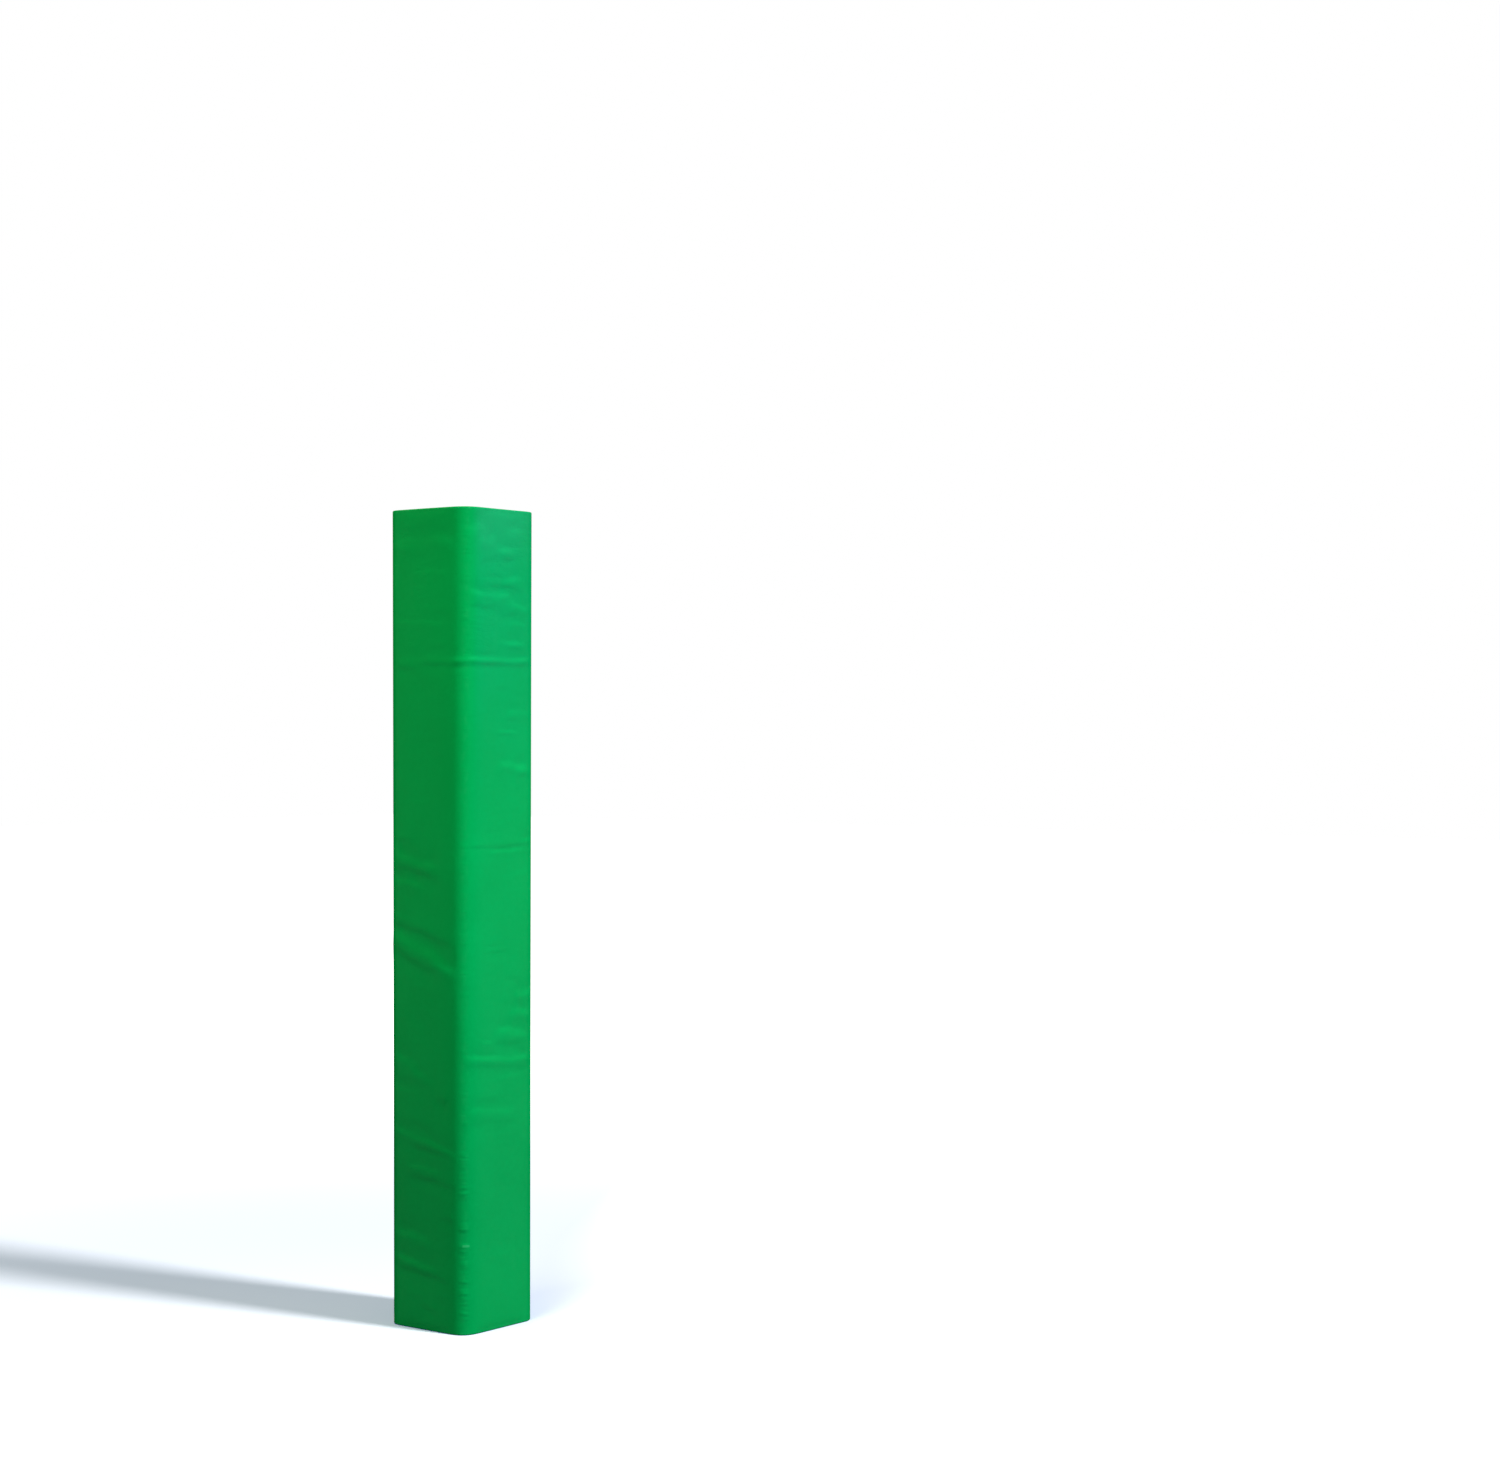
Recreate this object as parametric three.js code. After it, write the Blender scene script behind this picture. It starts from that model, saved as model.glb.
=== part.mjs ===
// A padded wrap for a square post: four padded panels that fold round it and close at one corner.
// Millimetres, +Z up. The front panel faces -Y. The origin is in the middle of the underside.
import * as THREE from 'three';

// The post that the wrap goes round
const postSide = 250;
const postClearance = 0.5;

// The wrap
const padHeight = 2600;
const foamThickness = 38;
const coverThickness = 1.2;
const liningThickness = 0.8;
const cornerRadius = 40;

// The hook and loop closure
const hookTapeThickness = 1.6;
const loopTapeThickness = 2.2;
const tapeWidth = 25;
const tapeEndMargin = 40;

// How the layers lie together
const layerGap = 0.3;
const mitreSetback = 0.2;
const halfCornerSteps = 6;

// Places worked out from the sizes above
const boreHalf = postSide / 2 + postClearance;
const wallThickness = liningThickness + layerGap + foamThickness + layerGap + coverThickness;
const outerHalf = boreHalf + wallThickness;
const arcCentre = outerHalf - cornerRadius;
const coverInnerRadius = cornerRadius - coverThickness;
const fillingRadius = coverInnerRadius - layerGap;
const packetBottom = coverThickness + layerGap;
const packetHeight = padHeight - 2 * packetBottom;

// Each panel is drawn as the front one. Its outer face is at y = -outerHalf, and its right end
// meets the next panel on the mitre plane x = -y. A setback is a distance into the panel from there.

// Points round the corner at the right end: from the outer face, at -90 degrees, to a last angle.
function cornerArc(radius, last, steps) {
  const first = -Math.PI / 2;
  const points = [];
  for (let i = 0; i <= steps; i++) {
    const angle = first + ((last - first) * i) / steps;
    const x = arcCentre + radius * Math.cos(angle);
    const y = -arcCentre + radius * Math.sin(angle);
    points.push(new THREE.Vector2(x, y));
  }
  return points;
}

// The half of that corner which belongs to the panel, as far as a setback from the mitre plane.
function halfCorner(radius, setback) {
  return cornerArc(radius, -Math.PI / 4 - Math.asin(setback / radius), halfCornerSteps);
}

// A point on the right end at a depth y, on the line that is set back from the mitre plane.
function onMitre(y, setback) {
  return new THREE.Vector2(-y - setback * Math.SQRT2, y);
}

// The right end's points as the left end has them, in the order that continues an outline.
function mirrored(points) {
  return points.map((p) => new THREE.Vector2(-p.x, p.y)).reverse();
}

function extruded(outline, height) {
  const shape = new THREE.Shape(outline);
  return new THREE.ExtrudeGeometry(shape, { depth: height, bevelEnabled: false });
}

function meshOf(name, geometry, material, bottom) {
  const mesh = new THREE.Mesh(geometry, material);
  mesh.name = name;
  mesh.position.z = bottom;
  return mesh;
}

// Materials
function coverCloth() {
  return new THREE.MeshStandardMaterial({ color: 0x039a52, roughness: 0.45, metalness: 0 });
}

function liningCloth() {
  return new THREE.MeshStandardMaterial({ color: 0x1d3a2c, roughness: 0.85, metalness: 0 });
}

function paddingFoam() {
  return new THREE.MeshStandardMaterial({ color: 0xe8e6df, roughness: 0.9, metalness: 0 });
}

function fastenerTape() {
  return new THREE.MeshStandardMaterial({ color: 0x151716, roughness: 0.95, metalness: 0 });
}

// The two kinds of panel end: a fold, and a closing end with a fastener tape on its mitred edge.
const foldEnd = { tapeThickness: 0 };
const hookEnd = { tapeThickness: hookTapeThickness };
const loopEnd = { tapeThickness: loopTapeThickness };

function liningSetback(end) {
  return end.tapeThickness ? mitreSetback + end.tapeThickness + layerGap : mitreSetback;
}

// Foam board: a mitred slab whose outer edges follow the rounded corners.
function foamBoard(leftEnd, rightEnd) {
  const innerFace = -(boreHalf + liningThickness + layerGap);
  const half = (end) => {
    const setback = liningSetback(end) + liningThickness + layerGap;
    return [...halfCorner(fillingRadius, setback), onMitre(innerFace, setback)];
  };
  return extruded([...mirrored(half(leftEnd)), ...half(rightEnd)], packetHeight);
}

// Cover panel: the flat outer cloth. At a closing end it runs on round its half of the corner.
function coverPanel(leftEnd, rightEnd) {
  const surface = (radius) => {
    const flatEdge = new THREE.Vector2(arcCentre - layerGap, -arcCentre - radius);
    const half = (end) => (end.tapeThickness ? halfCorner(radius, mitreSetback) : [flatEdge]);
    return [...mirrored(half(leftEnd)), ...half(rightEnd)];
  };
  return extruded([...surface(cornerRadius), ...surface(coverInnerRadius).reverse()], packetHeight);
}

// Lining: thin cloth over the inner face, turned out along both mitred ends as far as the cover.
function lining(leftEnd, rightEnd) {
  const surface = (depth) => {
    const half = (end) => {
      const setback = liningSetback(end) + depth;
      return [onMitre(-boreHalf - depth, setback), halfCorner(fillingRadius, setback).at(-1)];
    };
    return [...mirrored(half(leftEnd)), ...half(rightEnd)];
  };
  return extruded([...surface(0), ...surface(liningThickness).reverse()], packetHeight);
}

// End gusset: the cloth that closes a panel's pocket at the top or at the bottom.
function endGusset() {
  const half = [...halfCorner(cornerRadius, mitreSetback), onMitre(-boreHalf, mitreSetback)];
  return extruded([...mirrored(half), ...half], coverThickness);
}

// Fold strip: the cover cloth that runs round a corner and hinges two panels there.
function foldStripOutline() {
  const surface = (radius) => cornerArc(radius, 0, 2 * halfCornerSteps);
  return [...surface(cornerRadius), ...surface(coverInnerRadius).reverse()];
}

// Fastener tape: a flat strip along the middle of a closing end's mitred edge.
function tapeOutline(thickness) {
  const mitreInnerEnd = boreHalf * Math.SQRT2;
  const mitreOuterEnd = arcCentre * Math.SQRT2 + coverInnerRadius;
  const middle = (mitreInnerEnd + mitreOuterEnd) / 2;
  const point = (along, setback) => {
    return new THREE.Vector2((along - setback) / Math.SQRT2, -(along + setback) / Math.SQRT2);
  };
  return [
    point(middle - tapeWidth / 2, mitreSetback),
    point(middle + tapeWidth / 2, mitreSetback),
    point(middle + tapeWidth / 2, mitreSetback + thickness),
    point(middle - tapeWidth / 2, mitreSetback + thickness),
  ];
}

function foldStrip(name, outline) {
  return meshOf(name, extruded(outline, packetHeight), coverCloth(), packetBottom);
}

function fastener(name, outline) {
  const tapeLength = padHeight - 2 * tapeEndMargin;
  return meshOf(name, extruded(outline, tapeLength), fastenerTape(), tapeEndMargin);
}

// A padded panel, turned about the post to its own side.
function paddedPanel(side, quarterTurns, leftEnd, rightEnd) {
  const panel = new THREE.Group();
  const topGussetBottom = padHeight - coverThickness;
  panel.add(
    meshOf(`${side}_foam_board`, foamBoard(leftEnd, rightEnd), paddingFoam(), packetBottom),
    meshOf(`${side}_cover_panel`, coverPanel(leftEnd, rightEnd), coverCloth(), packetBottom),
    meshOf(`${side}_lining`, lining(leftEnd, rightEnd), liningCloth(), packetBottom),
    meshOf(`${side}_bottom_gusset`, endGusset(), coverCloth(), 0),
    meshOf(`${side}_top_gusset`, endGusset(), coverCloth(), topGussetBottom),
  );
  panel.rotation.z = (quarterTurns * Math.PI) / 2;
  return panel;
}

const front = paddedPanel('front', 0, foldEnd, foldEnd);
const right = paddedPanel('right', 1, foldEnd, loopEnd);
const rear = paddedPanel('rear', 2, hookEnd, foldEnd);
const left = paddedPanel('left', 3, foldEnd, foldEnd);

front.add(foldStrip('front_left_fold', mirrored(foldStripOutline())));
front.add(foldStrip('front_right_fold', foldStripOutline()));
left.add(foldStrip('left_rear_fold', mirrored(foldStripOutline())));

right.add(fastener('closure_loop_tape', tapeOutline(loopTapeThickness)));
rear.add(fastener('closure_hook_tape', mirrored(tapeOutline(hookTapeThickness))));

const polePad = new THREE.Group();
polePad.add(front, right, rear, left);

export default polePad;
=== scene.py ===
from math import atan2, cos, hypot, pi, radians, sin, sqrt

import bpy
import numpy as np
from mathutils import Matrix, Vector


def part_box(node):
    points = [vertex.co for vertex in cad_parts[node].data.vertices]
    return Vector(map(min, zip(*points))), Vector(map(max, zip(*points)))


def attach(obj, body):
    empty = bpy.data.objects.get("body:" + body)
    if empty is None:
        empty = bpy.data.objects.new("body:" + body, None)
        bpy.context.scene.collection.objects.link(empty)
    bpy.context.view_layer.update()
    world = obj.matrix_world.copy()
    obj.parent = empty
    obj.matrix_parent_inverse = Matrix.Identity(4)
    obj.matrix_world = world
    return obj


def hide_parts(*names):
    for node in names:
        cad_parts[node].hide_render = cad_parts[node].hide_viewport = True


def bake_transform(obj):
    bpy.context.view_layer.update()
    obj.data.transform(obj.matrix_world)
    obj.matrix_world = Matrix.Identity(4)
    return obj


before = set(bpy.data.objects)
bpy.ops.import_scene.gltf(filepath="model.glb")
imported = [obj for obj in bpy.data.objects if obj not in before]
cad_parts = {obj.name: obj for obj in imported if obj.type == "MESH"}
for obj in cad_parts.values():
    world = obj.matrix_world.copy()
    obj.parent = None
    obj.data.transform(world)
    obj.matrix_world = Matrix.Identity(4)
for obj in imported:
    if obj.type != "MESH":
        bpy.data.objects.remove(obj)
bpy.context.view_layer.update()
scene = bpy.context.scene
scene.view_settings.view_transform = "Standard"
print("stage: packed model loaded,", len(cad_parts), "nodes")

# The wrap's own sizes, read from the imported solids
outerHalf = -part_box("front_cover_panel")[0].y
boreHalf = -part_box("front_lining")[1].y
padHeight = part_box("front_top_gusset")[1].z
cornerRadius = 0.040
arcCentre = outerHalf - cornerRadius
faceLength = 2 * arcCentre
cornerLength = cornerRadius * pi / 2
sidePitch = faceLength + cornerLength  # one face and the corner that follows it, going round
diagonal = sqrt(0.5)


# Camera, floor and light

viewpoint = {"place": (-6.438, -6.114, 1.886), "turn": 37.55, "lens": 66.0, "far": 200}
floorLook = {
    "seen": (0.95, 0.95, 0.95), "bounce": (0.12, 0.12, 0.11), "glow": (0.005, 0.065, 0.26),
    "farGlow": (1.1, 1.1, 1.1), "farFrom": (1.2, 8.0), "paintedSideLight": 0.28, "paintedSideFrom": (0.18, 0.55),
    "paintedLightSide": (0.609, -0.793, 0), "size": 80.0,
}
backdropLook = {"white": (1.0, 1.0, 1.0), "ambient": (1.0, 1.0, 0.83), "strength": 0.210}
lamps = {
    "keyLamp": {"turn": 8, "lift": 40, "far": 24.0, "size": 3.4, "watts": 5840, "colour": (0.98, 1.0, 1.07)},
    "fillLamp": {"turn": -81, "lift": 50, "far": 5.6, "size": 2.8, "watts": 156, "colour": (1.0, 1.0, 0.55)},
}


def named(name):
    # names the object that was added last, and its data
    made = bpy.context.active_object
    made.name = name
    made.data.name = name
    return made


def addCamera():
    # it stands level, and its turn is counted from the X axis
    turn = (pi / 2, 0, radians(viewpoint["turn"]) - pi / 2)
    bpy.ops.object.camera_add(location=viewpoint["place"], rotation=turn)
    camera = named("photoCamera")
    camera.data.lens = viewpoint["lens"]
    camera.data.clip_end = viewpoint["far"]
    scene.camera = camera


def addLamp(name, look):
    turn, lift = radians(look["turn"]), radians(look["lift"])
    back = Vector((sin(turn) * cos(lift), -cos(turn) * cos(lift), sin(lift)))
    place = Vector((0, 0, padHeight / 2)) + back * look["far"]
    bpy.ops.object.light_add(type="AREA", location=place)
    lamp = named(name)
    lamp.rotation_euler = (-back).to_track_quat("-Z", "Y").to_euler()
    lamp.data.shape = "DISK"
    lamp.data.size = look["size"]
    lamp.data.energy = look["watts"]
    lamp.data.color = look["colour"]


def feed(node, values):
    # gives a node's inputs numbers, colours or what other nodes put out
    for key, value in values.items():
        socket = node.inputs[key]
        if isinstance(value, bpy.types.Node):
            value = value.outputs[0]
        if isinstance(value, bpy.types.NodeSocket):
            node.id_data.links.new(value, socket)
        elif socket.type == "RGBA":
            socket.default_value = (*value, 1)
        else:
            socket.default_value = value


def newNode(owner, kind, values=None, **settings):
    # the owner is a tree, or a node or an output in one
    made = owner.id_data.nodes.new(kind)
    for key, value in settings.items():
        setattr(made, key, value)
    feed(made, values or {})
    return made


def sums(operation, *values, clamp=False):
    owner = next(value for value in values if isinstance(value, bpy.types.NodeSocket))
    inputs = dict(enumerate(values))
    return newNode(owner, "ShaderNodeMath", inputs, operation=operation, use_clamp=clamp).outputs[0]


def vectorSums(operation, *values):
    return newNode(values[0], "ShaderNodeVectorMath", dict(enumerate(values)), operation=operation).outputs


def times(first, *rest):
    return sums("MULTIPLY", first, times(*rest)) if rest else first


def timesPlus(value, factor, more):
    return sums("MULTIPLY_ADD", value, factor, more)


def awayFrom(value, place):
    return sums("ABSOLUTE", sums("SUBTRACT", value, place))


def mixColour(share, first, second):
    inputs = {0: share, 6: first, 7: second}
    return newNode(share, "ShaderNodeMix", inputs, data_type="RGBA").outputs[2]


def smooth(value, low, high):
    # rises smoothly from 0 to 1, or falls where low is the higher one
    inputs = {"Value": value, "From Min": low, "From Max": high}
    return newNode(value, "ShaderNodeMapRange", inputs, interpolation_type="SMOOTHSTEP").outputs[0]


def whiteForTheEye(tree):
    # 1 for rays from the camera and for those that mirror or glass send on
    rays = newNode(tree, "ShaderNodeLightPath").outputs
    seen = sums("MAXIMUM", rays["Is Camera Ray"], rays["Is Glossy Ray"])
    return sums("MAXIMUM", seen, rays["Is Transmission Ray"])


def emptyTree(owner):
    owner.use_nodes = True
    owner.node_tree.nodes.clear()
    return owner.node_tree


def makeWorld():
    scene.world = bpy.data.worlds.new("studio")
    tree = emptyTree(scene.world)
    light = {"Color": backdropLook["ambient"], "Strength": backdropLook["strength"]}
    ambient = newNode(tree, "ShaderNodeBackground", light)
    white = newNode(tree, "ShaderNodeBackground", {"Color": backdropLook["white"]})
    mix = newNode(tree, "ShaderNodeMixShader", {0: whiteForTheEye(tree), 1: ambient, 2: white})
    newNode(tree, "ShaderNodeOutputWorld", {"Surface": mix})


def addFloor():
    bpy.ops.mesh.primitive_plane_add(size=floorLook["size"], location=(0, 0, 0))
    floor = named("floor")
    material = bpy.data.materials.new("paleFloor")
    tree = emptyTree(material)
    eye = whiteForTheEye(tree)
    tone = mixColour(eye, floorLook["bounce"], floorLook["seen"])
    matt = newNode(tree, "ShaderNodeBsdfDiffuse", {"Color": tone})
    # the glow grows with distance, so that the floor meets the backdrop without a line; near the pad it is
    # dim and blue, which shows only in the cast shadow as a painted blue tint
    place = newNode(tree, "ShaderNodeTexCoord").outputs["Object"]
    far = smooth(vectorSums("LENGTH", place)["Value"], *floorLook["farFrom"])
    # and it is a little stronger on the side that the main light's shadow doesn't reach, as painted light
    # that washes out the fill lamp's faint shadow there
    aside = vectorSums("DOT_PRODUCT", place, floorLook["paintedLightSide"])["Value"]
    near = times(smooth(aside, *floorLook["paintedSideFrom"]), floorLook["paintedSideLight"])
    tone = mixColour(sums("MAXIMUM", far, near), floorLook["glow"], floorLook["farGlow"])
    glow = newNode(tree, "ShaderNodeEmission", {"Color": tone, "Strength": eye})
    both = newNode(tree, "ShaderNodeAddShader", {0: matt, 1: glow})
    newNode(tree, "ShaderNodeOutputMaterial", {"Surface": both})
    floor.data.materials.append(material)


addCamera()
addFloor()
makeWorld()
for lampName, lampLook in lamps.items():
    addLamp(lampName, lampLook)
print("stage: camera, floor and light")


# Surface effects, each built once

def newGroup(name, numbers, results, build):
    # a group that takes a vector and some numbers, and puts out what build makes of them
    group = bpy.data.node_groups.new(name, "ShaderNodeTree")
    group.interface.new_socket(name="Vector", in_out="INPUT", socket_type="NodeSocketVector")
    for label, value in numbers.items():
        socket = group.interface.new_socket(name=label, in_out="INPUT", socket_type="NodeSocketFloat")
        socket.default_value = value
    for label in results:
        group.interface.new_socket(name=label, in_out="OUTPUT", socket_type="NodeSocketFloat")
    start = newNode(group, "NodeGroupInput")
    made = build(*start.outputs[:len(numbers) + 1])
    newNode(group, "NodeGroupOutput", dict(zip(results, made)))
    return group


def partsOf(vector):
    return newNode(vector, "ShaderNodeSeparateXYZ", {0: vector}).outputs[:2]


def stretched(vector, across, up):
    # the cut's own coordinates with one direction packed closer than the other
    return vectorSums("MULTIPLY", vector, (across, up, across))[0]


def noiseOf(vector, scale, detail=3.0, roughness=0.55):
    inputs = {"Vector": vector, "Scale": scale, "Detail": detail, "Roughness": roughness}
    return newNode(vector, "ShaderNodeTexNoise", inputs).outputs["Fac"]


def weaveOf(vector, pitch):
    # plain weave: each thread is a rounded rib that goes over its neighbour and under the next
    waves = [sums("SINE", times(sums("DIVIDE", part, pitch), pi)) for part in partsOf(vector)]
    over = sums("GREATER_THAN", times(*waves), 0.0)
    warp, weft = (sums("ABSOLUTE", wave) for wave in waves)
    return [timesPlus(sums("SUBTRACT", warp, weft), over, weft)]


def mottleOf(vector, scale):
    # slow and quick variation together, about 0.5
    slow = noiseOf(vector, scale, 2.0)
    quick = noiseOf(vector, times(scale, 17.0), 4.0)
    return [timesPlus(quick, 0.35, times(slow, 0.65))]


def rubOf(vector, cornerWidth, edgeWidth):
    # 1 along the corners and the top and bottom edges where the cloth rubs, and along the
    # stretches of the corners where it is gathered
    across, up = partsOf(vector)
    fromCorner = sums("SUBTRACT", across, faceLength + cornerLength / 2)
    near = sums("ABSOLUTE", sums("WRAP", fromCorner, sidePitch / 2, -sidePitch / 2))
    corner = smooth(near, cornerWidth, 0.0)
    fromEnd = sums("SUBTRACT", padHeight / 2, awayFrom(up, padHeight / 2))
    edge = smooth(fromEnd, edgeWidth, 0.0)
    broken = smooth(noiseOf(stretched(vector, 1.0, 0.6), 60.0, 5.0, 0.65), 0.42, 0.68)
    gathered = smooth(noiseOf(stretched(vector, 0.1, 1.0), 14.0, 2.0), 0.40, 0.62)
    return [times(corner, broken), times(edge, broken), times(corner, gathered)]


weaveThreads = newGroup("weaveThreads", {"Pitch": 0.001}, ["Height"], weaveOf)
clothMottle = newGroup("clothMottle", {"Scale": 4.0}, ["Value"], mottleOf)
rubWidths = {"Corner Width": 0.026, "Edge Width": 0.012}
edgeRub = newGroup("edgeRub", rubWidths, ["Corner", "Edge", "Turn"], rubOf)


def placeGroup(group, vector, **values):
    values["Vector"] = vector
    return newNode(vector, "ShaderNodeGroup", values, node_tree=group).outputs


def newMaterial(name, cutMap=True):
    material = bpy.data.materials.new(name)
    tree = emptyTree(material)
    shader = newNode(tree, "ShaderNodeBsdfPrincipled")
    newNode(tree, "ShaderNodeOutputMaterial", {"Surface": shader})
    if cutMap:
        return material, shader, newNode(tree, "ShaderNodeUVMap", uv_map="cut").outputs[0]
    return material, shader, newNode(tree, "ShaderNodeTexCoord").outputs["Object"]


def finishShader(shader, look, colour, height, others=None):
    bump = newNode(height, "ShaderNodeBump", {"Distance": look["relief"], "Height": height})
    inputs = {"Roughness": look["roughness"], "Specular IOR Level": look["specular"]}
    feed(shader, {"Base Color": colour, "Normal": bump, **inputs, **(others or {})})


coverLook = {
    "colour": (0.0006, 0.380, 0.090), "shade": (0.0005, 0.355, 0.082), "rubbed": (0.030, 0.450, 0.160),
    "roughness": 0.44, "specular": 0.11, "specularTint": (0.0, 1.0, 0.8), "thread": 0.0011,
    "relief": 0.00010, "crumple": 6.0, "upperCrumple": 8.0, "ticks": 10.0, "lowTicks": 26.0,
    # painted light and shade by height: how much paler each broad band is (darker below zero), and the
    # heights where it starts, is full, fades and ends
    "paintedLightBands": [
        (0.065, 0.75, 1.35, 1.70, 2.30), (-0.055, 0.12, 0.38, 0.46, 0.72), (-0.055, 2.42, 2.56, 2.90, 3.00),
    ],
    # painted sheen on the upper front, where the main light falls: colour, share, and the heights where it
    # starts and is full
    "paintedSheen": [
        ((0.0015, 0.378, 0.132), 0.75, 1.45, 2.50),  # painted sheen, paler and bluer
        ((0.022, 0.372, 0.160), 0.32, 2.36, 2.60),  # painted sheen, whiter near the top edge
    ],
    "paleMark": (0.006 - cornerLength / 2, 0.280),
}


def makeCoverCloth():
    look = coverLook
    material, shader, vector = newMaterial("coatedCoverCloth")
    across, up = partsOf(vector)
    corner, edge, turn = placeGroup(edgeRub, vector)
    weave = placeGroup(weaveThreads, vector, Pitch=look["thread"])[0]
    grain = noiseOf(vector, 1500.0, 4.0, 0.6)
    # the cloth is a little darker in patches and paler where it rubs; paler at mid height and darker low
    # down and at the top is painted light and shade, and a paler upper front is painted sheen
    patch = smooth(placeGroup(clothMottle, vector, Scale=3.1)[0], 0.35, 0.65)
    tone = 1.0
    for share, low, full, still, high in look["paintedLightBands"]:
        tone = timesPlus(times(smooth(up, low, full), smooth(up, high, still)), share, tone)
    inputs = {0: mixColour(patch, look["shade"], look["colour"]), "Scale": tone}
    colour = newNode(vector, "ShaderNodeVectorMath", inputs, operation="SCALE").outputs[0]
    worn = timesPlus(edge, 0.30, times(corner, 0.10))
    colour = mixColour(worn, colour, look["rubbed"])
    # painted sheen on the upper front, in patches
    onFront = times(smooth(across, -0.02, 0.03), smooth(across, sidePitch, faceLength - 0.01))
    sheenPatches = times(timesPlus(patch, 0.4, 0.6), onFront)
    for paintedSheen, share, low, high in look["paintedSheen"]:
        colour = mixColour(times(smooth(up, low, high), sheenPatches, share), colour, paintedSheen)
    # one small paler mark low on the near corner
    aside, above = awayFrom(across, look["paleMark"][0]), awayFrom(up, look["paleMark"][1])
    paleMark = times(smooth(aside, 0.014, 0.009), smooth(above, 0.0046, 0.0022))
    colour = mixColour(times(paleMark, 0.75), colour, look["rubbed"])
    # crumples that lie across each face, more of them near the top
    drift = timesPlus(noiseOf(vector, 9.0, 2.0), 0.05, up)
    lie = newNode(vector, "ShaderNodeCombineXYZ", {0: across, 1: drift}).outputs[0]
    patches = smooth(noiseOf(stretched(vector, 1.0, 0.5), 7.0, 1.0), 0.42, 0.62)
    amount = timesPlus(smooth(up, 2.0, 2.3), look["upperCrumple"], look["crumple"])
    crumple = times(noiseOf(stretched(lie, 0.30, 1.0), 62.0), amount, timesPlus(patches, 0.85, 0.15))
    # shorter ones across the rounded corners, more of them near the ground
    amount = timesPlus(smooth(up, 0.85, 0.10), look["lowTicks"], look["ticks"])
    ticks = times(noiseOf(stretched(vector, 0.12, 1.0), 95.0, 1.0, 0.4), amount, turn)
    height = timesPlus(weave, 0.35, times(grain, 0.5))
    height = sums("ADD", sums("ADD", crumple, ticks), height)
    # the sheen fades at a flat angle
    slant = newNode(vector, "ShaderNodeLayerWeight").outputs["Facing"]
    finishShader(shader, look, colour, height, {
        "Roughness": timesPlus(worn, 0.2, timesPlus(grain, 0.06, look["roughness"] - 0.03)),
        "Specular IOR Level": times(smooth(slant, 0.52, 0.24), look["specular"]),
        "Specular Tint": look["specularTint"],
    })
    return material


def makePlainCloth(name):
    look = plainLooks[name]
    material, shader, vector = newMaterial(name)
    mottle = placeGroup(clothMottle, vector, Scale=look["mottle"])[0]
    weave = placeGroup(weaveThreads, vector, Pitch=look["thread"])[0]
    colour = mixColour(smooth(mottle, 0.3, 0.7), look["shade"], look["colour"])
    # the hollows between the threads are darker: painted shade
    deep = times(sums("SUBTRACT", 1.0, weave), 0.45)
    rough = timesPlus(mottle, 0.1, look["roughness"])
    finishShader(shader, look, mixColour(deep, colour, look["shade"]), weave, {"Roughness": rough})
    return material


plainLooks = {
    "coverClothBack": {
        "colour": (0.20, 0.40, 0.26), "shade": (0.12, 0.28, 0.17), "thread": 0.0009, "mottle": 6.0,
        "roughness": 0.75, "relief": 0.0002, "specular": 0.2,
    },
    "liningWeave": {
        "colour": (0.022, 0.075, 0.045), "shade": (0.010, 0.040, 0.024), "thread": 0.0008, "mottle": 7.0,
        "roughness": 0.70, "relief": 0.0003, "specular": 0.25,
    },
    "tapeWebbing": {
        "colour": (0.030, 0.031, 0.032), "shade": (0.012, 0.012, 0.013), "thread": 0.0007, "mottle": 40.0,
        "roughness": 0.72, "relief": 0.0003, "specular": 0.25,
    },
}
foamLook = {
    "colour": (0.72, 0.69, 0.60), "shade": (0.56, 0.53, 0.44), "cell": 520.0, "mottle": 5.0,
    "roughness": 0.92, "relief": 0.0004, "specular": 0.1,
}
fibreLooks = {
    "sewingThread": {
        "colour": (0.006, 0.30, 0.09), "shade": (0.003, 0.16, 0.05), "twist": 2600.0,
        "roughness": 0.5, "relief": 0.0001, "specular": 0.5,
    },
    "hookPile": {
        "colour": (0.020, 0.021, 0.022), "shade": (0.006, 0.006, 0.006), "rows": 0.0016,
        "roughness": 0.62, "relief": 0.0009, "specular": 0.3,
    },
    "loopPile": {
        "colour": (0.034, 0.034, 0.036), "shade": (0.006, 0.006, 0.006), "tangle": 900.0,
        "roughness": 0.9, "relief": 0.0007, "specular": 0.3,
    },
}


def cellsOf(vector, scale, **settings):
    inputs = {"Vector": vector, "Scale": scale}
    return newNode(vector, "ShaderNodeTexVoronoi", inputs, **settings).outputs["Distance"]


def makeFoam():
    material, shader, vector = newMaterial("cutFoam", cutMap=False)
    cells = cellsOf(vector, foamLook["cell"])
    mottle = placeGroup(clothMottle, vector, Scale=foamLook["mottle"])[0]
    # darker in the cells' pits, with patches of tone: painted shade in the pits
    share = sums("MULTIPLY_ADD", mottle, 0.5, times(cells, 0.8), clamp=True)
    finishShader(shader, foamLook, mixColour(share, foamLook["shade"], foamLook["colour"]), cells)
    return material


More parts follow.
